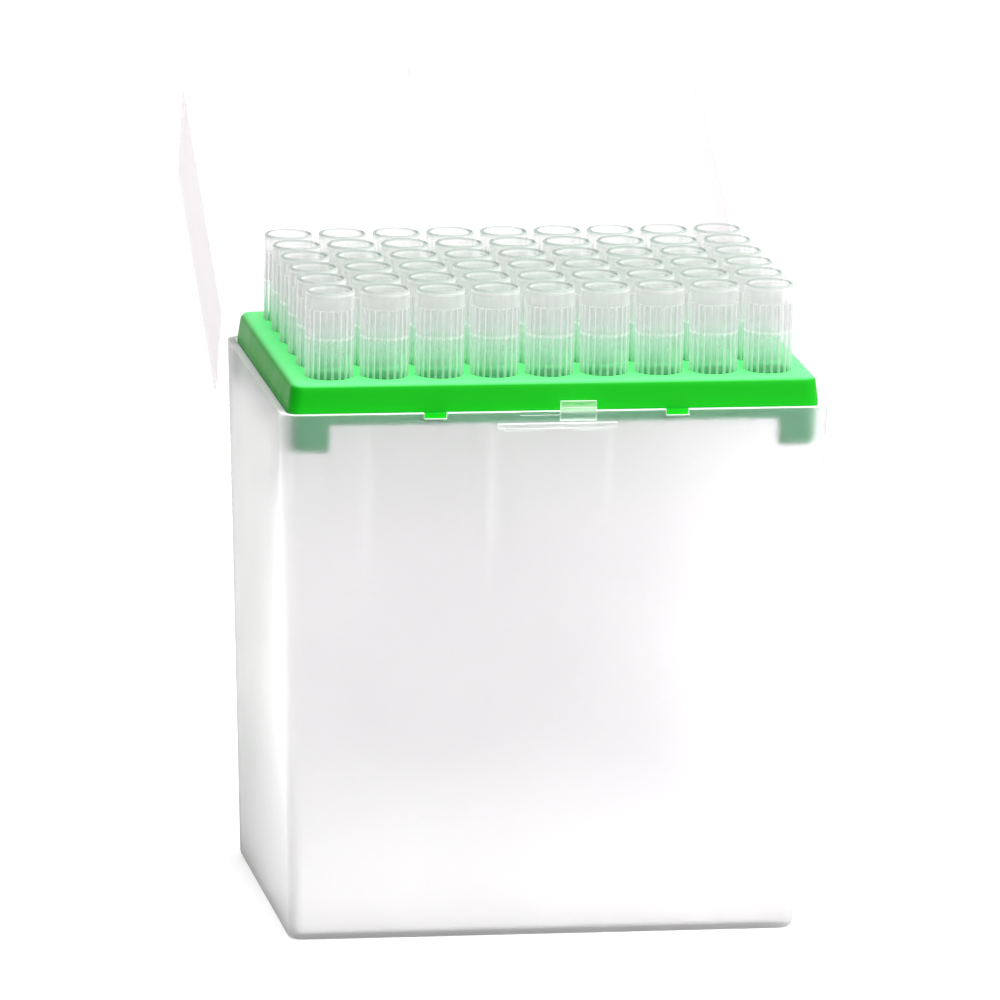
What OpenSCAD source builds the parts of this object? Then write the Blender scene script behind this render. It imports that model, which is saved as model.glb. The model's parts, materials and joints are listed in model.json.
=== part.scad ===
// Box of pipette tips: a tall drafted box, a hinged clear lid, a rack plate and its ribbed tips.
// Sizes are in millimetres. Z is up, the front faces -Y and the hinge runs along the rear rim.
// The origin is at the middle of the underside. The lid is drawn open, resting on its stop.

/* [Box] */
// Width over the rim
box_w = 150; // [149:0.5:152]
// Depth over the rim
box_d = 104; // [103:0.5:106]
// Height from the underside to the rim
box_h = 147; // [140:1:155]
// Draft of the walls, in degrees
box_draft = 2; // [1:0.25:2.25]
// Outside radius of the upright corners at the rim
box_corner = 5; // [4.5:0.25:6]
// Wall thickness at the rim
box_wall = 2; // [1.8:0.1:2.1]
// Floor thickness
box_floor = 2; // [1.5:0.25:3]

/* [Rack] */
// Distance from one tip's axis to the next
pitch = 15; // [14.8:0.1:15]
// Tips from left to right
columns = 9; // [9:1:9]
// Tips from front to back
rows = 6; // [6:1:6]
// Width of the rack's skirt
rack_w = 145; // [144.5:0.25:145]
// Depth of the rack's skirt
rack_d = 99; // [98.5:0.25:99]
// Top of the deck above the rim
deck_rise = 7.8; // [7:0.2:9]
// Thickness of the deck
deck_t = 2; // [1.6:0.2:2.4]
// Thickness of the skirt
skirt_t = 1.8; // [1.5:0.1:2]
// How far the skirt reaches below the rim
skirt_drop = 3.5; // [3:0.25:4]
// How far the corner legs reach below the rim
leg_drop = 11; // [9:0.5:14]

/* [Tips] */
// Height of the tips' mouths above the rim
tip_rise = 31.6; // [30:0.2:32]
// Length of a tip
tip_len = 150; // [135:1:155]
// Diameter of the collar and over the ribs
tip_od = 13.2; // [13:0.1:13.6]
// Diameter of the root between the ribs
root_d = 11.9; // [11.7:0.1:12]
// Diameter of the socket that the pipette's cone enters
socket_d = 10.5; // [10.2:0.1:10.6]
// Depth of the socket
socket_depth = 12.8; // [11:0.2:14]
// Upright ribs around each tip
rib_count = 20; // [12:2:24]

/* [Lid] */
// Height of the closed lid above the rim
lid_h = 35; // [34.5:0.5:40]
// Wall thickness of the lid
lid_wall = 1.3; // [1.2:0.1:1.5]
// Angle between the open lid and the closed one, in degrees
open_angle = 149; // [149:1:149]

/* [Hidden] */
slope = tan(box_draft);
foot_w = box_w - 2 * box_h * slope;
foot_d = box_d - 2 * box_h * slope;
foot_corner = box_corner - 1.2;
foot_round = 2;
arc_steps = 8;
seat_gap = 0.1;

// Rim details
notch_x = 33;
notch_w = 6.2;
notch_deep = 1.5;
clip_x = 5.6;
clip_w = 9.8;
tab_x = -4.7;
tab_w = 8.9;
catch_w = 32.6;
catch_z = box_h - 3;

// Rack
deck_z = box_h + deck_rise;
deck_round = 2;
skirt_lean = 0.6;
skirt_corner = 3.6;
leg_w = 11;
hole_d = root_d + 0.3;
hook_out = 1.4;
hook_w = 6;

// Tips
mouth_z = box_h + tip_rise;
collar_h = 4.9;
rib_w = 0.6;
rib_foot = tip_rise - deck_rise;

// Lid
lid_top = box_h + lid_h;
lid_round = 2.5;
lid_lean = lid_h * tan(2);

// Hinge
hinge_y = box_d / 2 + 2.9;
hinge_z = box_h + 0.7;
hinge_x = 45;
pin_r = 1.2;
eye_r = 1.5;
knuckle_r = 2.5;
knuckle_w = 11.4;
cheek_gap = 12;
cheek_t = 2;
stop_reach = 2.85;

function tip_name(r, c) = str("tip_", chr(97 + r), c + 1);

// One corner arc of an outline, as points.
function corner_arc(x, y, radius, z, from) =
    [for (i = [0:arc_steps])
        let (a = from + 90 * i / arc_steps)
        [x + radius * cos(a), y + radius * sin(a), z]];

// A rounded rectangle at one height, counter-clockwise from the right. g = [z, width, depth, radius].
function outline(g) =
    let (z = g[0], x = g[1] / 2 - g[3], y = g[2] / 2 - g[3], radius = g[3])
    concat(
        corner_arc(x, y, radius, z, 0),
        corner_arc(-x, y, radius, z, 90),
        corner_arc(-x, -y, radius, z, 180),
        corner_arc(x, -y, radius, z, 270)
    );

// A solid through a stack of rounded rectangles, lowest first.
module stacked(levels) {
    count = 4 * (arc_steps + 1);
    last = len(levels) - 1;
    polyhedron(
        points = [for (g = levels) each outline(g)],
        faces = concat(
            [[for (i = [0:count - 1]) i]],
            [for (k = [0:last - 1]) for (i = [0:count - 1])
                let (j = (i + 1) % count)
                [k * count + i, (k + 1) * count + i, (k + 1) * count + j, k * count + j]],
            [[for (i = [count - 1:-1:0]) last * count + i]]
        )
    );
}

// A bar with a constant section in Y and Z, centred at x.
module bar_along_x(x, width, section) {
    translate([x - width / 2, 0, 0])
        rotate([90, 0, 90])
            linear_extrude(height = width)
                polygon(section);
}

module across_x(x, width) {
    translate([x - width / 2, 0, 0])
        rotate([90, 0, 90])
            linear_extrude(height = width)
                children();
}

// ---- Box -----------------------------------------------------------------

module box_outside() {
    stacked(concat(
        [for (a = [0:22.5:67.5])
            let (inset = foot_round * (1 - sin(a)))
            [foot_round * (1 - cos(a)), foot_w - 2 * inset, foot_d - 2 * inset, foot_corner - inset * 0.6]],
        [[foot_round, foot_w + 2 * foot_round * slope, foot_d + 2 * foot_round * slope, foot_corner],
         [box_h, box_w, box_d, box_corner]]
    ));
}

module box_inside() {
    floor_wall = box_wall - 0.3;
    stacked([
        [box_floor, foot_w - 2 * floor_wall, foot_d - 2 * floor_wall, foot_corner - 1.6],
        [box_h + 1, box_w - 2 * box_wall, box_d - 2 * box_wall, box_corner - box_wall]
    ]);
}

// Upright ribs that fade into the drafted wall and carry the skirt's lower edge.
module support_rib() {
    top = box_h - skirt_drop;
    rotate([90, 0, 0])
        translate([0, 0, -0.7])
            linear_extrude(height = 1.4)
                polygon([[0, top], [2.9, top], [0.9, box_h / 2], [0, box_h / 2]]);
}

module support_ribs() {
    for (x = [-50, -16, 16, 50])
        for (s = [-1, 1])
            translate([x, s * (rack_d / 2 - skirt_t), 0])
                rotate(s * 90)
                    support_rib();
    for (y = [-20, 20])
        for (s = [-1, 1])
            translate([s * (rack_w / 2 - skirt_t), y, 0])
                rotate(90 - s * 90)
                    support_rib();
}

// Stands up from the front rim and guides the closing lid.
module rim_clip() {
    wall = -box_d / 2;
    bar_along_x(clip_x, clip_w, [
        [wall + 0.4, box_h - 2.2], [wall - 1.5, box_h - 2.2], [wall - 1.5, box_h + 1.4],
        [wall - 1.15, box_h + 1.4], [wall - 1.15, box_h + 3.1], [wall - 0.3, box_h + 3.1],
        [wall - 0.3, box_h - 0.2], [wall + 0.4, box_h - 0.2]
    ]);
}

// The ridge that the lid's latch tab closes over.
module catch_ridge() {
    wall = -box_d / 2;
    bar_along_x(0, catch_w, [
        [wall + 0.7, catch_z], [wall - 1.2, catch_z], [wall - 1.2, catch_z - 1.3], [wall + 0.7, catch_z - 1.3]
    ]);
    for (x = [-9, 9])
        bar_along_x(x, 10.4, [
            [wall + 0.7, catch_z - 1.2], [wall - 0.5, catch_z - 1.2],
            [wall - 0.5, catch_z - 2.1], [wall + 0.7, catch_z - 2.1]
        ]);
}

// One hinge pin between two cheeks on the rear wall.
module hinge_post(x) {
    wall = box_d / 2;
    for (s = [-1, 1])
        across_x(x + s * (cheek_gap + cheek_t) / 2, cheek_t)
            union() {
                translate([hinge_y, hinge_z])
                    circle(r = 2.4, $fn = 48);
                polygon([
                    [wall - 0.9, box_h - 0.1], [wall - 0.9, box_h - 8.5], [wall, box_h - 8.5],
                    [hinge_y + 2.1, box_h - 1.5], [hinge_y + 1.2, box_h + 0.7],
                    [wall + 0.8, box_h - 0.1]
                ]);
            }
    translate([x - cheek_gap / 2 - cheek_t / 2, hinge_y, hinge_z])
        rotate([0, 90, 0])
            cylinder(h = cheek_gap + cheek_t, r = pin_r, $fn = 48);
}

module base_box() {
    color([0.90, 0.92, 0.92, 0.6])
        difference() {
            union() {
                difference() {
                    box_outside();
                    box_inside();
                }
                support_ribs();
                rim_clip();
                catch_ridge();
                for (s = [-1, 1])
                    hinge_post(s * hinge_x);
            }
            for (sx = [-1, 1])
                for (sy = [-1, 1])
                    translate([sx * notch_x - notch_w / 2, sy * box_d / 2 - 4, box_h - notch_deep])
                        cube([notch_w, 8, notch_deep + 5]);
            translate([tab_x - 5.4, -box_d / 2 - 1, box_h - 0.9])
                cube([10.8, 1.4, 5]);
        }
}

// ---- Rack ----------------------------------------------------------------

function rack_level(z, inset, corner) = [z, rack_w - 2 * inset, rack_d - 2 * inset, corner];

module rack_outside() {
    stacked(concat(
        [rack_level(box_h - leg_drop, 0.9, skirt_corner - 0.7),
         rack_level(box_h - leg_drop + 1.6, 0.15, skirt_corner),
         rack_level(box_h + 0.8, 0, skirt_corner)],
        [for (a = [0:22.5:90])
            rack_level(deck_z - deck_round * (1 - sin(a)),
                skirt_lean + deck_round * (1 - cos(a)),
                skirt_corner - deck_round * (1 - cos(a)) * 0.8)]
    ));
}

module rack_inside() {
    stacked([
        rack_level(box_h - leg_drop - 1, skirt_t, skirt_corner - 1.6),
        rack_level(box_h + 0.8, skirt_t, skirt_corner - 1.6),
        rack_level(deck_z - deck_t, skirt_t + skirt_lean, skirt_corner - 1.6)
    ]);
}

// Small hooks that sit in the notches of the rim.
module rack_hook(x, s) {
    translate([x - hook_w / 2, s > 0 ? rack_d / 2 - 0.8 : -rack_d / 2 - hook_out, box_h - notch_deep])
        cube([hook_w, hook_out + 0.8, notch_deep - 0.1]);
}

module tip_rack() {
    low = box_h - leg_drop - 5;
    color([0.10, 0.70, 0.22])
        difference() {
            union() {
                difference() {
                    rack_outside();
                    rack_inside();
                    translate([-rack_w / 2 + leg_w, -rack_d, low])
                        cube([rack_w - 2 * leg_w, 2 * rack_d, box_h - skirt_drop - low]);
                    translate([-rack_w, -rack_d / 2 + leg_w, low])
                        cube([2 * rack_w, rack_d - 2 * leg_w, box_h - skirt_drop - low]);
                }
                for (x = [-notch_x, notch_x])
                    for (s = [-1, 1])
                        rack_hook(x, s);
            }
            for (r = [0:rows - 1])
                for (c = [0:columns - 1])
                    translate([tip_x(c), tip_y(r), deck_z - deck_t - 1])
                        cylinder(h = deck_t + 2, d = hole_d, $fn = 48);
        }
}

// ---- Tips ----------------------------------------------------------------

function tip_x(c) = (c - (columns - 1) / 2) * pitch;
function tip_y(r) = (r - (rows - 1) / 2) * pitch;

// A tip with its mouth at z = 0, hanging down.
module tip_shape() {
    rim = tip_od / 2;
    root = root_d / 2;
    socket = socket_d / 2;
    rotate_extrude($fn = 72)
        polygon([
            [rim - 0.3, 0], [rim, -0.3], [rim, -collar_h], [root, -collar_h - 0.3],
            [root, -rib_foot - 4], [5.6, -tip_len * 0.41], [3.2, -tip_len * 0.8], [0.95, -tip_len],
            [0.55, -tip_len], [2.45, -tip_len * 0.8], [4.85, -tip_len * 0.41],
            [4.95, -socket_depth - 0.4], [4.95, -socket_depth], [socket, -socket_depth],
            [socket, -1.8], [rim - 0.75, 0]
        ]);
    translate([0, 0, -rib_foot])
        linear_extrude(height = rib_foot - collar_h + 0.3)
            for (i = [0:rib_count - 1])
                rotate(i * 360 / rib_count)
                    translate([root - 0.35, -rib_w / 2])
                        square([rim - root + 0.35, rib_w]);
}

module tip(r, c) {
    color([0.93, 0.97, 0.95, 0.5])
        translate([tip_x(c), tip_y(r), mouth_z])
            tip_shape();
}

// ---- Lid -----------------------------------------------------------------

module lid_outside() {
    stacked(concat(
        [[box_h + seat_gap, box_w, box_d, box_corner]],
        [for (a = [0:22.5:90])
            let (inset = lid_lean + lid_round * (1 - cos(a)))
            [lid_top - lid_round * (1 - sin(a)), box_w - 2 * inset, box_d - 2 * inset,
             box_corner - lid_round * (1 - cos(a)) * 0.8]]
    ));
}

module lid_inside() {
    stacked(concat(
        [[box_h - 1, box_w - 2 * lid_wall, box_d - 2 * lid_wall, box_corner - lid_wall]],
        [for (a = [0:30:90])
            let (inset = lid_lean + lid_wall + 1.6 * (1 - cos(a)))
            [lid_top - lid_wall - 1.6 * (1 - sin(a)), box_w - 2 * inset, box_d - 2 * inset,
             box_corner - lid_wall - 1.6 * (1 - cos(a)) * 0.8]]
    ));
}

// The latch tab hangs in front of the catch ridge, with a pad along its lower end.
module latch_tab() {
    wall = -box_d / 2;
    bar_along_x(tab_x, tab_w, [
        [wall + 0.7, box_h + 2.6], [wall - 2, box_h + 2.6], [wall - 2.9, box_h + 1.8],
        [wall - 2.9, box_h - 8.8], [wall - 1.3, box_h - 8.8], [wall - 1.3, box_h - 5.3],
        [wall - 1.9, box_h - 5.3], [wall - 1.9, box_h + 0.6], [wall + 0.7, box_h + 0.6]
    ]);
}

// A knuckle that snaps over a pin. Its heel turns flat against the box at the open stop.
module knuckle(x) {
    heel = [-cos(open_angle), -sin(open_angle)];
    along = [sin(open_angle), -cos(open_angle)];
    across_x(x, knuckle_w)
        translate([hinge_y, hinge_z])
            difference() {
                union() {
                    circle(r = knuckle_r, $fn = 64);
                    polygon([[-3.3, -0.6], [0, -0.6], [0, 2.5], [-3.3, 2.5]]);
                    polygon([
                        [0, 0], stop_reach * heel - 0.4 * along, stop_reach * heel + 3.2 * along,
                        1.2 * heel + 3.2 * along, [0, knuckle_r]
                    ]);
                }
                circle(r = eye_r, $fn = 64);
                translate([-1, -4])
                    square([2, 4]);
            }
}

module lid() {
    color([0.95, 0.97, 0.98, 0.35])
        translate([0, hinge_y, hinge_z])
            rotate([-open_angle, 0, 0])
                translate([0, -hinge_y, -hinge_z])
                    union() {
                        difference() {
                            lid_outside();
                            lid_inside();
                        }
                        latch_tab();
                        for (s = [-1, 1])
                            knuckle(s * hinge_x);
                    }
}

base_box();
lid();
tip_rack();
for (r = [0:rows - 1])
    for (c = [0:columns - 1])
        tip(r, c);
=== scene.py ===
"""Visual model of a box of pipette tips, built around its CAD frame."""

import json
import math

import bmesh
import bpy
from mathutils import Matrix, Vector


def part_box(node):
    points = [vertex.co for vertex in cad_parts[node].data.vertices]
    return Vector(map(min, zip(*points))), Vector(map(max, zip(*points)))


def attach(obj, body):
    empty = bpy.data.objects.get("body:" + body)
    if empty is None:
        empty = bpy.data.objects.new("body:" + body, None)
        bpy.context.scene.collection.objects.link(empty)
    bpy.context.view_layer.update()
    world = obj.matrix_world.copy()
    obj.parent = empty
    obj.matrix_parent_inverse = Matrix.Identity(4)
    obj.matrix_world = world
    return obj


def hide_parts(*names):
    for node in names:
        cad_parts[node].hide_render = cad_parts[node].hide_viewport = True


bl_info = {
    "name": "Pipette tip box",
    "version": (1, 0, 0),
    "blender": (4, 5, 0),
    "location": "3D View > Sidebar > Tip Box",
    "description": "Moulded box, hinged lid, rack plate and ribbed pipette tips",
    "category": "Add Mesh",
}

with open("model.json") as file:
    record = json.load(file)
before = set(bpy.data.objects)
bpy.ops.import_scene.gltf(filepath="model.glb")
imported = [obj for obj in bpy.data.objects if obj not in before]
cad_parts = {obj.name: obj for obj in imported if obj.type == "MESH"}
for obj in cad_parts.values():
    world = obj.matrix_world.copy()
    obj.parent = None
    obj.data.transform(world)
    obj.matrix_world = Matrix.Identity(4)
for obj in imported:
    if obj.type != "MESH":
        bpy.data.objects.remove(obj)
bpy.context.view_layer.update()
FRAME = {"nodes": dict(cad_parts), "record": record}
TIPS = sorted(n for n in FRAME["nodes"] if n.startswith("tip_") and n != "tip_rack")

MM = 0.001

# Moulded shapes
SAME_POINT = 0.002 * MM
FLAT_ANGLE = math.radians(0.5)
EDGE_ANGLE = math.radians(35)
EDGE_SEGMENTS = 2

# Distance below a tip's mouth, colour, and how much one wall hides of what is behind it. The colours hold
# painted light: painted shade on the mouth's rim, painted highlights under the lip, at the collar's foot
# and where the socket ends, a painted green reflection of the deck, and painted shade under the deck
TIP_STOPS_WITH_PAINTED_LIGHT = (
    # Painted shade: a dark outline on the mouth's rim
    (0.0 * MM, (0.46, 0.5, 0.49), 0.58),
    (0.35 * MM, (0.56, 0.59, 0.58), 0.46),
    # Painted highlight: a white line just under the lip
    (0.6 * MM, (1.0, 1.0, 1.0), 0.42),
    (0.9 * MM, (1.0, 1.0, 1.0), 0.42),
    (1.3 * MM, (0.8, 0.76, 0.79), 0.2),
    (4.6 * MM, (0.8, 0.76, 0.79), 0.2),
    # Painted highlight: a pale band at the collar's foot
    (4.9 * MM, (0.9, 0.88, 0.9), 0.27),
    (5.2 * MM, (0.9, 0.88, 0.9), 0.27),
    (5.6 * MM, (0.78, 0.74, 0.78), 0.33),
    (12.4 * MM, (0.78, 0.74, 0.78), 0.33),
    # Painted highlight: a pale ring where the socket ends inside
    (12.7 * MM, (0.92, 0.88, 0.91), 0.43),
    (13.1 * MM, (0.92, 0.88, 0.91), 0.43),
    # Painted reflection: the deck's green, growing toward the deck
    (13.5 * MM, (0.7, 0.79, 0.75), 0.27),
    (17.0 * MM, (0.6, 0.8, 0.69), 0.3),
    (21.0 * MM, (0.42, 0.78, 0.54), 0.4),
    (23.5 * MM, (0.15, 0.6, 0.28), 0.48),
    # Painted shade: dark green just under the deck
    (24.2 * MM, (0.01, 0.25, 0.05), 0.5),
    (28.0 * MM, (0.01, 0.25, 0.05), 0.5),
    (31.0 * MM, (0.93, 0.93, 0.93), 0.0),
    (90.0 * MM, (0.93, 0.93, 0.93), 0.0),
)

# Ribs of the tips: the radius they start at, how far their edge fades, how much more they hide, and the
# painted highlight that lightens them
RIB_ROOT = 5.98 * MM
RIB_FADE = 0.1 * MM
RIB_COVER = 1.5
RIB_PAINTED_HIGHLIGHT = 0.35
RIB_HIGHLIGHT_COLOUR = (0.97, 1.0, 0.98)

# Distance below the box's rim, tint and full cover: painted shade just under the rim, and a little darker
# toward the foot
BOX_PAINTED_SHADE_STOPS = (
    (0.0 * MM, (0.975, 0.975, 0.975), 1.0),
    (25.0 * MM, (0.99, 0.99, 0.99), 1.0),
    (75.0 * MM, (0.99, 0.99, 0.99), 1.0),
    (110.0 * MM, (0.975, 0.975, 0.975), 1.0),
)

# Painted shade on the box's rear wall: where it starts and is full, and how dark it gets
REAR_PAINTED_SHADE_START = 38 * MM
REAR_PAINTED_SHADE_END = 44 * MM
REAR_PAINTED_SHADE = 0.76

# Hooks of the rack, which stand out past its skirt
HOOK_DEPTH = 1.2 * MM
HOOK_FADE = 0.1 * MM

# Moulded plastic
FLOW_MARKS = 0.03
FLOW_SCALE = 35
GLOSS_SCALE = 120
GRAIN_STRENGTH = 0.02
GRAIN_DISTANCE = 0.1 * MM

# Floor and light
FLOOR_HALF = 9.0
FLOOR_SEEN = 0.8
FLOOR_BOUNCE = 0.31
FLOOR_GLOW = 0.5
SKY_FOCUS = 4.0
LAMP_SIZE = 0.5
MAX_BOUNCES = 10
MAX_CLEAR_WALLS = 96
SENSOR_WIDTH = 36


# ---- Settings ------------------------------------------------------------


def colour_setting(name, description, default):
    """A colour with the limits that every plastic shares."""
    return bpy.props.FloatVectorProperty(
        name=name, description=description, subtype="COLOR", size=3, default=default, min=0.0, max=1.0
    )


class TipBoxShape(bpy.types.PropertyGroup):
    """Small shape details that the mouldings get."""

    edge_round: bpy.props.FloatProperty(
        name="Edge rounding",
        description="Radius of the moulded edges on the box and lid",
        default=0.3 * MM,
        min=0.0,
        unit="LENGTH",
    )
    rack_round: bpy.props.FloatProperty(
        name="Rack edge rounding",
        description="Radius of the moulded edges on the rack plate",
        default=0.3 * MM,
        min=0.0,
        unit="LENGTH",
    )
    smooth_angle: bpy.props.FloatProperty(
        name="Smooth angle",
        description="Faces that meet below this angle are shaded as one surface",
        default=math.radians(28),
        subtype="ANGLE",
    )


class TipBoxFinish(bpy.types.PropertyGroup):
    """Colours of the plastics, with painted light on the rack's deck and painted shade on its legs."""

    box_colour: colour_setting("Box", "Frosted plastic of the box", (0.99, 0.978, 0.987))
    lid_colour: colour_setting("Lid", "Clear plastic of the lid", (0.66, 0.58, 0.62))
    # Painted light: the deck's top is a lighter, whiter green than the skirt, for light from above and its
    # sheen
    deck_colour_painted_lighter: colour_setting("Rack deck", "Top of the green rack plate", (0.17, 1.0, 0.29))
    skirt_colour: colour_setting("Rack skirt", "Sides of the green rack plate", (0.002, 0.46, 0.005))
    # Painted shade: the legs inside the box are a darker, bluer green
    leg_colour_painted_shade: colour_setting("Rack legs", "What hangs inside the box", (0.001, 0.18, 0.055))
    hook_colour: colour_setting("Rack hooks", "Hooks that sit in the rim's notches", (0.002, 0.62, 0.006))
    tip_colour: colour_setting("Tips", "Natural plastic of the tips", (0.94, 0.95, 0.945))


class TipBoxStage(bpy.types.PropertyGroup):
    """Camera and light."""

    turn: bpy.props.FloatProperty(
        name="Turn",
        description="Camera's angle round the box, to the left of the front",
        default=math.radians(9.97),
        subtype="ANGLE",
    )
    rise: bpy.props.FloatProperty(
        name="Rise",
        description="Camera's angle above the horizon",
        default=math.radians(12.85),
        subtype="ANGLE",
    )
    roll: bpy.props.FloatProperty(
        name="Roll",
        description="Camera's roll about its own view",
        default=math.radians(1.2),
        subtype="ANGLE",
    )
    distance: bpy.props.FloatProperty(
        name="Distance",
        description="Camera to the aim point",
        default=2.901,
        unit="LENGTH",
    )
    aim: bpy.props.FloatVectorProperty(
        name="Aim",
        description="Point the camera looks at",
        subtype="TRANSLATION",
        size=3,
        default=(-0.00603, 0.0, 0.11094),
    )
    lens: bpy.props.FloatProperty(
        name="Lens",
        description="Focal length in millimetres on a 36 mm sensor",
        default=381.3,
    )
    sky_low: bpy.props.FloatProperty(
        name="Sky on the shaded side",
        description="Soft light from the shaded side, where 1 all round lights a white wall to white",
        default=0.1,
    )
    sky_high: bpy.props.FloatProperty(
        name="Sky on the bright side",
        description="Soft light from the bright side",
        default=2.3,
    )
    bright_side: bpy.props.FloatVectorProperty(
        name="Bright side",
        description="Direction that most of the soft light comes from",
        subtype="DIRECTION",
        size=3,
        default=(0.85, -0.55, 1.1),
    )
    key_power: bpy.props.FloatProperty(
        name="Main lamp",
        description="Power of the soft lamp above",
        default=3.6,
        unit="POWER",
    )
    fill_power: bpy.props.FloatProperty(
        name="Fill lamp",
        description="Power of the soft lamp low in front",
        default=1.2,
        unit="POWER",
    )


# ---- Node helpers --------------------------------------------------------


def new_material(name):
    """An empty material with its output node."""
    material = bpy.data.materials.new(name)
    material.use_nodes = True
    nodes = material.node_tree.nodes
    nodes.clear()
    output = nodes.new("ShaderNodeOutputMaterial")
    return material, nodes, material.node_tree.links, output


def feed(links, value, socket):
    """Gives a socket a number, a colour or another socket's value."""
    if isinstance(value, bpy.types.NodeSocket):
        links.new(value, socket)
    elif isinstance(value, float):
        socket.default_value = value
    else:
        socket.default_value = (*value, 1)


def object_place(nodes):
    """The place in the piece's own space."""
    return nodes.new("ShaderNodeTexCoord").outputs["Object"]


def axis_of(nodes, links, vector, axis):
    """One number of a vector."""
    parts = nodes.new("ShaderNodeSeparateXYZ")
    links.new(vector, parts.inputs[0])
    return parts.outputs[axis]


def speckle(nodes, links, scale, detail, low, high):
    """A noise value spread between low and high, in object space."""
    noise = nodes.new("ShaderNodeTexNoise")
    noise.inputs["Scale"].default_value = scale
    noise.inputs["Detail"].default_value = detail
    spread = nodes.new("ShaderNodeMapRange")
    spread.inputs["From Min"].default_value = 0.3
    spread.inputs["From Max"].default_value = 0.7
    spread.inputs["To Min"].default_value = low
    spread.inputs["To Max"].default_value = high
    links.new(object_place(nodes), noise.inputs["Vector"])
    links.new(noise.outputs["Fac"], spread.inputs["Value"])
    return spread.outputs["Result"]


def fade(nodes, links, value, start, end, low, high):
    """Low up to start, high from end on, and a smooth change between."""
    spread = nodes.new("ShaderNodeMapRange")
    spread.interpolation_type = "SMOOTHSTEP"
    spread.inputs["From Min"].default_value = start
    spread.inputs["From Max"].default_value = end
    spread.inputs["To Min"].default_value = low
    spread.inputs["To Max"].default_value = high
    links.new(value, spread.inputs["Value"])
    return spread.outputs["Result"]


def spread_evenly(nodes, links, value, low, high):
    """A number from 0 to 1, spread between low and high."""
    spread = nodes.new("ShaderNodeMapRange")
    spread.inputs["To Min"].default_value = low
    spread.inputs["To Max"].default_value = high
    links.new(value, spread.inputs["Value"])
    return spread.outputs["Result"]


def worked_out(nodes, links, operation, first, second=None, clamp=False):
    """The result of a sum with one or two numbers."""
    work = nodes.new("ShaderNodeMath")
    work.operation = operation
    work.use_clamp = clamp
    feed(links, first, work.inputs[0])
    if second is not None:
        feed(links, second, work.inputs[1])
    return work.outputs[0]


def mixed(nodes, links, share, first, second, blend="MIX"):
    """Two colours mixed by a share."""
    mix = nodes.new("ShaderNodeMix")
    mix.data_type = "RGBA"
    mix.blend_type = blend
    feed(links, share, mix.inputs[0])
    feed(links, first, mix.inputs[6])
    feed(links, second, mix.inputs[7])
    return mix.outputs[2]


def blended(nodes, links, share, first, second):
    """Two shaders mixed by a share."""
    mix = nodes.new("ShaderNodeMixShader")
    feed(links, share, mix.inputs[0])
    links.new(first, mix.inputs[1])
    links.new(second, mix.inputs[2])
    return mix.outputs[0]


def clear_path(nodes, links, tint=(1.0, 1.0, 1.0)):
    """A shader that lets rays straight through."""
    path = nodes.new("ShaderNodeBsdfTransparent")
    feed(links, tint, path.inputs["Color"])
    return path.outputs[0]


def shadow_rays(nodes):
    """1 for rays that look for a lamp."""
    return nodes.new("ShaderNodeLightPath").outputs["Is Shadow Ray"]


def by_height(nodes, links, place, top, stops, tint=(1.0, 1.0, 1.0)):
    """Colour and cover along a height: stops lists (distance below top, colour, cover)."""
    ramp = nodes.new("ShaderNodeValToRGB")
    marks = ramp.color_ramp.elements
    reach = stops[-1][0]
    while len(marks) < len(stops):
        marks.new(0.5)
    for mark, (down, colour, cover) in zip(marks, stops):
        mark.position = down / reach
        mark.color = (*(c * t for c, t in zip(colour, tint)), cover)
    below = nodes.new("ShaderNodeMapRange")
    below.inputs["From Min"].default_value = top
    below.inputs["From Max"].default_value = top - reach
    links.new(axis_of(nodes, links, place, "Z"), below.inputs["Value"])
    links.new(below.outputs["Result"], ramp.inputs["Fac"])
    return ramp.outputs["Color"], ramp.outputs["Alpha"]


def off_axis(nodes, links, place, first, pitch):
    """Distance from the axis of the nearest tip, where tips stand in a square grid that starts at first."""
    half = pitch / 2
    for operation, settings in (
        ("SUBTRACT", ((first[0], first[1], 0),)),
        ("MULTIPLY", ((1, 1, 0),)),
        ("WRAP", ((half, half, 1), (-half, -half, -1))),
    ):
        step = nodes.new("ShaderNodeVectorMath")
        step.operation = operation
        links.new(place, step.inputs[0])
        for socket, value in zip(step.inputs[1:], settings):
            socket.default_value = value
        place = step.outputs["Vector"]
    reach = nodes.new("ShaderNodeVectorMath")
    reach.operation = "LENGTH"
    links.new(place, reach.inputs[0])
    return reach.outputs["Value"]


# ---- Plastics ------------------------------------------------------------


def uneven_clearness(nodes, links, sheer):
    """Less light goes through the faces that point up, and through what lies near the foot."""
    facing = axis_of(nodes, links, nodes.new("ShaderNodeTexCoord").outputs["Normal"], "Z")
    share = fade(nodes, links, facing, 0.5, 0.9, sheer["clear"], sheer["milky_top"])
    low, high, foot_share = sheer["frosted_foot"]
    height = axis_of(nodes, links, object_place(nodes), "Z")
    rising = fade(nodes, links, height, low, high, foot_share / sheer["clear"], 1.0)
    return worked_out(nodes, links, "MULTIPLY", share, rising)


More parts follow.
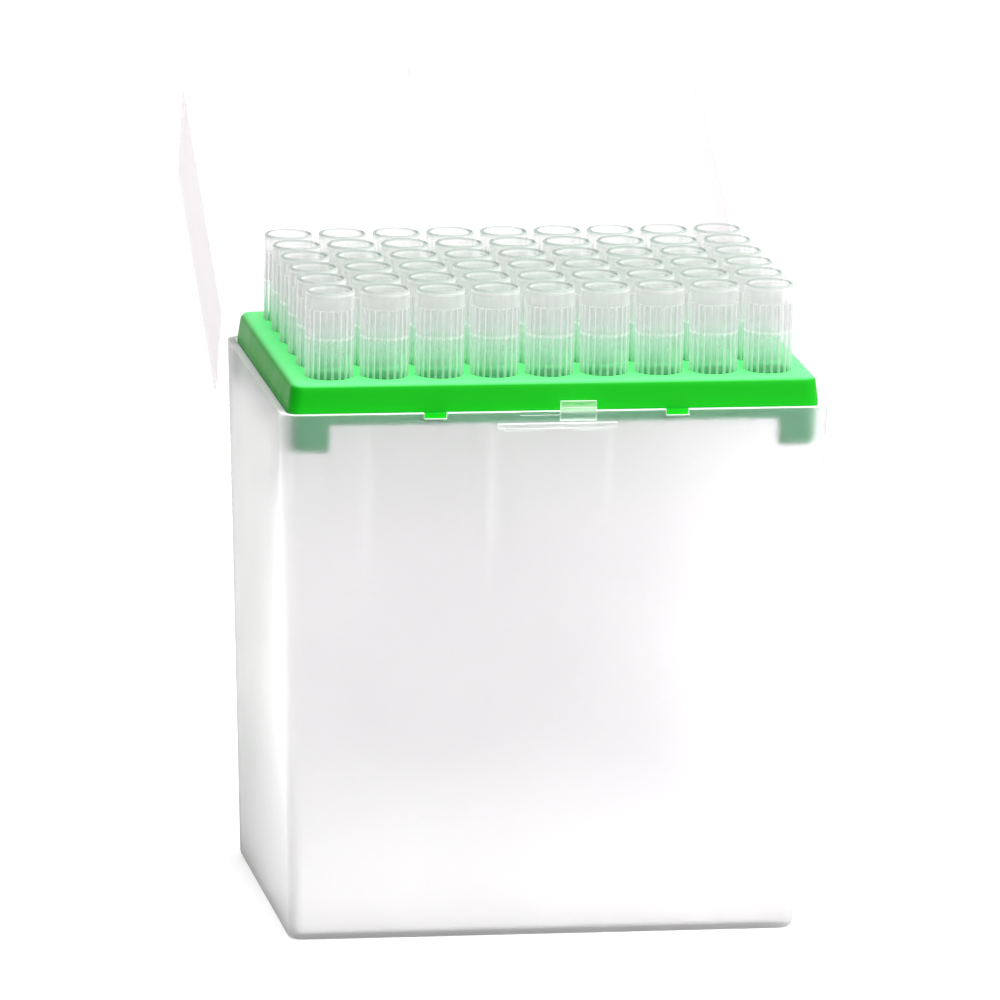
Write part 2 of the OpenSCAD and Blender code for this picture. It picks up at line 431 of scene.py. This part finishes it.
def moulded_plastic(name, colour, rough, place_tint_with_painted_light, ior=1.49, specular=0.5, grain=None, sheer=None):
    """Moulded plastic: flow marks in its colour, uneven gloss, and a fine surface grain if grain is given.

    The tint by place, given as a function, holds painted light and painted shade. sheer describes
    plastic that light goes through: clear is the share that does, milky_top that share on faces that
    point up, and frosted_foot (low, high, share) what it falls to near the foot. passes is how much of
    a lamp's light a face lets by, and dense_foot (low, high, share) what that falls to near the foot.
    """
    material, nodes, links, output = new_material(name)
    skin = nodes.new("ShaderNodeBsdfPrincipled")
    skin.inputs["IOR"].default_value = ior
    skin.inputs["Specular IOR Level"].default_value = specular
    surface = skin.outputs["BSDF"]
    if sheer:
        clearness = uneven_clearness(nodes, links, sheer)
        links.new(clearness, skin.inputs["Transmission Weight"])
        height = axis_of(nodes, links, object_place(nodes), "Z")
        passes = fade(nodes, links, height, *sheer["dense_foot"], sheer["passes"])
        surface = blended(nodes, links, shadow_rays(nodes), surface, clear_path(nodes, links, passes))
    links.new(surface, output.inputs["Surface"])

    dark = [c * (1 - FLOW_MARKS) for c in colour]
    flowed = mixed(nodes, links, speckle(nodes, links, FLOW_SCALE, 3, 0, 1), dark, colour)
    # Tint by place, with painted light and painted shade, multiplied into the colour
    level = place_tint_with_painted_light(nodes, links, object_place(nodes))
    links.new(mixed(nodes, links, 1.0, level, flowed, "MULTIPLY"), skin.inputs["Base Color"])
    links.new(speckle(nodes, links, GLOSS_SCALE, 2, rough[0], rough[1]), skin.inputs["Roughness"])

    if grain:
        bump = nodes.new("ShaderNodeBump")
        bump.inputs["Strength"].default_value = GRAIN_STRENGTH
        bump.inputs["Distance"].default_value = GRAIN_DISTANCE
        links.new(speckle(nodes, links, grain, 4, 0, 1), bump.inputs["Height"])
        links.new(bump.outputs["Normal"], skin.inputs["Normal"])
    return material


def sheer_plastic(name, colour, rough, face_on, edge_on, turn, glow, passes, stops=None, grid=None):
    """Thin milky plastic, which hides more of what is behind it where it is seen edge on.

    Its cover goes from face_on to edge_on, and starts to rise at turn. glow is the share of its
    milkiness that shows light from behind. passes is how much of a lamp's light a face lets by. stops
    gives colour, with painted light and painted shade in it, and cover by height for tips that stand in
    grid, whose ribs get a painted highlight. A face seen from inside the plastic is clear.
    """
    material, nodes, links, output = new_material(name)
    shade = colour
    tilt = nodes.new("ShaderNodeLayerWeight")
    cover = fade(nodes, links, tilt.outputs["Facing"], turn, 1.0, face_on, edge_on)
    if stops:
        place = object_place(nodes)
        # Colour by height with painted light and painted shade in it, and cover by height
        shade, share = by_height(nodes, links, place, grid["mouth"], stops, colour)
        cover = worked_out(nodes, links, "MULTIPLY", cover, share)
        reach = off_axis(nodes, links, place, grid["first"], grid["pitch"])
        on_rib = fade(nodes, links, reach, RIB_ROOT, RIB_ROOT + RIB_FADE, 0.0, 1.0)
        more = spread_evenly(nodes, links, on_rib, 1.0, RIB_COVER)
        cover = worked_out(nodes, links, "MULTIPLY", cover, more, clamp=True)
        # Painted highlight: the ribs are mixed toward a near-white colour
        white = worked_out(nodes, links, "MULTIPLY", on_rib, RIB_PAINTED_HIGHLIGHT, clamp=True)
        shade = mixed(nodes, links, white, shade, RIB_HIGHLIGHT_COLOUR)
    skin = nodes.new("ShaderNodeBsdfPrincipled")
    feed(links, shade, skin.inputs["Base Color"])
    links.new(speckle(nodes, links, GLOSS_SCALE, 2, rough[0], rough[1]), skin.inputs["Roughness"])
    lit_through = nodes.new("ShaderNodeBsdfTranslucent")
    feed(links, shade, lit_through.inputs["Color"])
    body = blended(nodes, links, glow, skin.outputs["BSDF"], lit_through.outputs[0])
    side = nodes.new("ShaderNodeNewGeometry")
    entered = worked_out(nodes, links, "SUBTRACT", 1.0, side.outputs["Backfacing"])
    cover = worked_out(nodes, links, "MULTIPLY", cover, entered, clamp=True)
    seen = blended(nodes, links, cover, clear_path(nodes, links), body)
    surface = blended(nodes, links, shadow_rays(nodes), seen, clear_path(nodes, links, passes))
    links.new(surface, output.inputs["Surface"])
    return material


def box_painted_shade(nodes, links, place):
    """The box's tint by height, with painted shade under the rim, and painted shade on the rear wall."""
    # Painted shade under the rim, and a little darker toward the foot
    level = by_height(nodes, links, place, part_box("base_box")[1][2], BOX_PAINTED_SHADE_STOPS)[0]
    rearward = axis_of(nodes, links, place, "Y")
    # Painted shade on the rear wall
    painted_rear_shade = fade(nodes, links, rearward, REAR_PAINTED_SHADE_START, REAR_PAINTED_SHADE_END, 1.0, REAR_PAINTED_SHADE)
    return mixed(nodes, links, 1.0, level, painted_rear_shade, "MULTIPLY")


def rack_colours_and_painted_light(nodes, links, place, finish):
    """The rack's colours by height: the deck painted lighter, the skirt, and the legs in painted shade; and
    the hooks past the skirt.
    """
    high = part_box("tip_rack")[1]
    stops = (
        # Painted light on the deck's top, with the skirt's own green below it
        (0.0 * MM, finish.deck_colour_painted_lighter, 1.0),
        (0.3 * MM, finish.deck_colour_painted_lighter, 1.0),
        (1.0 * MM, finish.skirt_colour, 1.0),
        (7.6 * MM, finish.skirt_colour, 1.0),
        # Painted shade on the legs below the rim
        (8.2 * MM, finish.leg_colour_painted_shade, 1.0),
        (30.0 * MM, finish.leg_colour_painted_shade, 1.0),
    )
    level = by_height(nodes, links, place, high[2], stops)[0]
    # The hooks past the skirt take their own green, free of the painted leg shade
    skirt_face = high[1] - HOOK_DEPTH
    outward = worked_out(nodes, links, "ABSOLUTE", axis_of(nodes, links, place, "Y"))
    past = fade(nodes, links, outward, skirt_face - HOOK_FADE, skirt_face + HOOK_FADE, 0.0, 1.0)
    return mixed(nodes, links, past, level, finish.hook_colour)


def tip_grid():
    """Where the first tip stands, how far apart tips stand, and how high their mouths are."""
    first, right = (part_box(name) for name in TIPS[:2])
    centre = [(low + high) / 2 for low, high in zip(*first)]
    return {
        "first": centre[:2],
        "pitch": (right[0][0] + right[1][0]) / 2 - centre[0],
        "mouth": first[1][2],
    }


# ---- Mesh helpers --------------------------------------------------------


def body_of_node(node):
    """The body that a CAD node belongs to."""
    for body, members in FRAME["record"]["behaviour"]["bodies"].items():
        if node in members:
            return body
    raise RuntimeError(f"no body holds {node}")


def moulding(node, name, material, edge_round, smooth_angle):
    """A copy of a CAD moulding with rounded edges and smooth faces, which stands for it."""
    mesh = FRAME["nodes"][node].data.copy()
    mesh.name = name
    work = bmesh.new()
    work.from_mesh(mesh)
    bmesh.ops.remove_doubles(work, verts=work.verts, dist=SAME_POINT)
    bmesh.ops.dissolve_limit(work, angle_limit=FLAT_ANGLE, verts=work.verts, edges=work.edges)
    work.to_mesh(mesh)
    work.free()
    mesh.materials.clear()
    mesh.materials.append(material)
    piece = bpy.data.objects.new(name, mesh)
    bpy.context.scene.collection.objects.link(piece)
    if edge_round > 0:
        bevel = piece.modifiers.new("edges", "BEVEL")
        bevel.width = edge_round
        bevel.segments = EDGE_SEGMENTS
        bevel.limit_method = "ANGLE"
        bevel.angle_limit = EDGE_ANGLE
        bevel.use_clamp_overlap = True
        bevel.harden_normals = False
    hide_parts(node)
    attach(piece, body_of_node(node))
    for face in mesh.polygons:
        face.use_smooth = True
    mesh.set_sharp_from_angle(angle=smooth_angle)


def wear(node, material):
    """Gives a CAD node its finished material."""
    target = FRAME["nodes"][node]
    if not target.material_slots:
        target.data.materials.append(material)
    for place in target.material_slots:
        place.material = material


# ---- Operators -----------------------------------------------------------


class TIPBOX_OT_box(bpy.types.Operator):
    """Build the tall frosted box"""

    bl_idname = "tipbox.box"
    bl_label = "Box"

    def execute(self, context):
        shape, finish = context.scene.tipbox_shape, context.scene.tipbox_finish
        sheer = {
            "clear": 0.98,
            "milky_top": 0.0,
            "frosted_foot": (0 * MM, 60 * MM, 0.6),
            "passes": 0.88,
            "dense_foot": (0 * MM, 18 * MM, 0.1),
        }
        frosted = moulded_plastic(
            "frosted_plastic", finish.box_colour, (0.95, 1.0), box_painted_shade, ior=1.38, sheer=sheer
        )
        moulding("base_box", "frosted_box", frosted, shape.edge_round, shape.smooth_angle)
        return {"FINISHED"}


class TIPBOX_OT_lid(bpy.types.Operator):
    """Build the clear hinged lid"""

    bl_idname = "tipbox.lid"
    bl_label = "Lid"

    def execute(self, context):
        shape, finish = context.scene.tipbox_shape, context.scene.tipbox_finish
        clear = sheer_plastic(
            "clear_plastic", finish.lid_colour, (0.06, 0.1),
            face_on=0.07, edge_on=0.9, turn=0.5, glow=0.5, passes=(0.97, 0.97, 0.97),
        )
        moulding("lid", "clear_lid", clear, shape.edge_round, shape.smooth_angle)
        return {"FINISHED"}


class TIPBOX_OT_rack(bpy.types.Operator):
    """Build the green rack plate"""

    bl_idname = "tipbox.rack"
    bl_label = "Rack plate"

    def execute(self, context):
        shape, finish = context.scene.tipbox_shape, context.scene.tipbox_finish
        green = moulded_plastic(
            "green_plastic", (1.0, 1.0, 1.0), (0.4, 0.5), lambda *tree: rack_colours_and_painted_light(*tree, finish),
            specular=0.15, grain=1500,
        )
        moulding("tip_rack", "green_rack", green, shape.rack_round, shape.smooth_angle)
        return {"FINISHED"}


class TIPBOX_OT_tips(bpy.types.Operator):
    """Finish the ribbed tips"""

    bl_idname = "tipbox.tips"
    bl_label = "Tips"

    def execute(self, context):
        natural = sheer_plastic(
            "natural_plastic", context.scene.tipbox_finish.tip_colour, (0.2, 0.26),
            face_on=1.15, edge_on=3.0, turn=0.2, glow=0.5, passes=(0.94, 0.95, 0.94),
            stops=TIP_STOPS_WITH_PAINTED_LIGHT, grid=tip_grid(),
        )
        for node in TIPS:
            wear(node, natural)
        return {"FINISHED"}


def white_for_seen_rays(nodes, links):
    """1 for rays seen directly, in gloss or through clear plastic, until a matt surface scatters them."""
    path = nodes.new("ShaderNodeLightPath")
    seen = path.outputs["Is Camera Ray"]
    for ray in ("Is Glossy Ray", "Is Transmission Ray"):
        seen = worked_out(nodes, links, "MAXIMUM", seen, path.outputs[ray])
    unscattered = worked_out(nodes, links, "LESS_THAN", path.outputs["Diffuse Depth"], 0.5)
    return worked_out(nodes, links, "MULTIPLY", seen, unscattered)


class TIPBOX_OT_stage(bpy.types.Operator):
    """Set up the floor, the light and the camera"""

    bl_idname = "tipbox.stage"
    bl_label = "Stage"

    def execute(self, context):
        stage = context.scene.tipbox_stage
        scene = context.scene
        scene.view_settings.view_transform = "Standard"
        scene.cycles.max_bounces = MAX_BOUNCES
        scene.cycles.transmission_bounces = MAX_BOUNCES
        scene.cycles.transparent_max_bounces = MAX_CLEAR_WALLS
        self.make_floor(scene)
        self.make_sky(scene, stage)
        self.make_lamps(scene, stage)
        self.make_camera(scene, stage)
        return {"FINISHED"}

    def make_floor(self, scene):
        """A matt floor that is pale where it is seen and sends little light up to the box."""
        half = FLOOR_HALF
        mesh = bpy.data.meshes.new("floor")
        corners = [(-half, -half, 0), (half, -half, 0), (half, half, 0), (-half, half, 0)]
        mesh.from_pydata(corners, [], [(0, 1, 2, 3)])
        material, nodes, links, output = new_material("pale_floor")
        seen = white_for_seen_rays(nodes, links)
        matte = nodes.new("ShaderNodeBsdfDiffuse")
        links.new(spread_evenly(nodes, links, seen, FLOOR_BOUNCE, FLOOR_SEEN), matte.inputs["Color"])
        glow = nodes.new("ShaderNodeEmission")
        links.new(worked_out(nodes, links, "MULTIPLY", seen, FLOOR_GLOW), glow.inputs["Strength"])
        both = nodes.new("ShaderNodeAddShader")
        links.new(matte.outputs[0], both.inputs[0])
        links.new(glow.outputs[0], both.inputs[1])
        links.new(both.outputs[0], output.inputs["Surface"])
        mesh.materials.append(material)
        floor = bpy.data.objects.new("floor", mesh)
        scene.collection.objects.link(floor)

    def make_sky(self, scene, stage):
        """White where it is seen, and otherwise soft light that grows toward the bright side."""
        world = bpy.data.worlds.new("studio")
        scene.world = world
        world.use_nodes = True
        nodes, links = world.node_tree.nodes, world.node_tree.links
        nodes.clear()
        output = nodes.new("ShaderNodeOutputWorld")
        light = nodes.new("ShaderNodeBackground")
        light.inputs["Color"].default_value = (1, 1, 1, 1)
        way = nodes.new("ShaderNodeTexCoord")
        towards = nodes.new("ShaderNodeVectorMath")
        towards.operation = "DOT_PRODUCT"
        towards.inputs[1].default_value = Vector(stage.bright_side).normalized()
        links.new(way.outputs["Generated"], towards.inputs[0])
        share = nodes.new("ShaderNodeMapRange")
        share.inputs["From Min"].default_value = -1.0
        links.new(towards.outputs["Value"], share.inputs["Value"])
        curve = worked_out(nodes, links, "POWER", share.outputs["Result"], SKY_FOCUS)
        strength = nodes.new("ShaderNodeMix")
        strength.data_type = "FLOAT"
        strength.inputs["B"].default_value = 1.0
        links.new(white_for_seen_rays(nodes, links), strength.inputs["Factor"])
        links.new(spread_evenly(nodes, links, curve, stage.sky_low, stage.sky_high), strength.inputs["A"])
        links.new(strength.outputs["Result"], light.inputs["Strength"])
        links.new(light.outputs[0], output.inputs["Surface"])

    def make_lamps(self, scene, stage):
        """A soft lamp above and to the right, and a weak one low in front."""
        for name, place, aim, power in (
            ("main_lamp", (0.4, -0.45, 0.8), (0, 0, 0.12), stage.key_power),
            ("fill_lamp", (0.35, -1.1, 0.15), (0, 0, 0.08), stage.fill_power),
        ):
            data = bpy.data.lights.new(name, "AREA")
            data.shape = "SQUARE"
            data.size = LAMP_SIZE
            data.energy = power
            lamp = bpy.data.objects.new(name, data)
            lamp.location = place
            lamp.rotation_euler = (Vector(aim) - Vector(place)).to_track_quat("-Z", "Y").to_euler()
            scene.collection.objects.link(lamp)

    def make_camera(self, scene, stage):
        """A long lens that looks down on the box from the front left."""
        data = bpy.data.cameras.new("view")
        data.sensor_width = SENSOR_WIDTH
        data.lens = stage.lens
        data.clip_start, data.clip_end = 0.05, 40
        camera = bpy.data.objects.new("view", data)
        scene.collection.objects.link(camera)
        turn, rise = stage.turn, stage.rise
        back = Vector((-math.sin(turn) * math.cos(rise), -math.cos(turn) * math.cos(rise), math.sin(rise)))
        level = Vector((math.cos(turn), -math.sin(turn), 0))
        up = back.cross(level)
        right = level * math.cos(stage.roll) + up * math.sin(stage.roll)
        top = up * math.cos(stage.roll) - level * math.sin(stage.roll)
        place = Vector(stage.aim) + back * stage.distance
        camera.matrix_world = Matrix(
            [[right[i], top[i], back[i], place[i]] for i in range(3)] + [[0, 0, 0, 1]]
        )
        scene.camera = camera


class TIPBOX_PT_panel(bpy.types.Panel):
    """Lists the pieces and their settings"""

    bl_label = "Tip Box"
    bl_idname = "TIPBOX_PT_panel"
    bl_space_type = "VIEW_3D"
    bl_region_type = "UI"
    bl_category = "Tip Box"

    def draw(self, context):
        layout = self.layout
        for group in (context.scene.tipbox_shape, context.scene.tipbox_finish, context.scene.tipbox_stage):
            box = layout.box()
            for key in group.__annotations__:
                box.prop(group, key)
        for operator in OPERATORS:
            layout.operator(operator.bl_idname)


GROUPS = {"tipbox_shape": TipBoxShape, "tipbox_finish": TipBoxFinish, "tipbox_stage": TipBoxStage}
OPERATORS = (TIPBOX_OT_box, TIPBOX_OT_lid, TIPBOX_OT_rack, TIPBOX_OT_tips, TIPBOX_OT_stage)
CLASSES = (*GROUPS.values(), *OPERATORS, TIPBOX_PT_panel)


def register():
    for cls in CLASSES:
        bpy.utils.register_class(cls)
    for name, group in GROUPS.items():
        setattr(bpy.types.Scene, name, bpy.props.PointerProperty(type=group))


def unregister():
    for name in GROUPS:
        delattr(bpy.types.Scene, name)
    for cls in reversed(CLASSES):
        bpy.utils.unregister_class(cls)


def main():
    register()
    bpy.ops.tipbox.box()
    bpy.ops.tipbox.lid()
    bpy.ops.tipbox.rack()
    bpy.ops.tipbox.tips()
    bpy.ops.tipbox.stage()


if __name__ == "__main__":
    main()
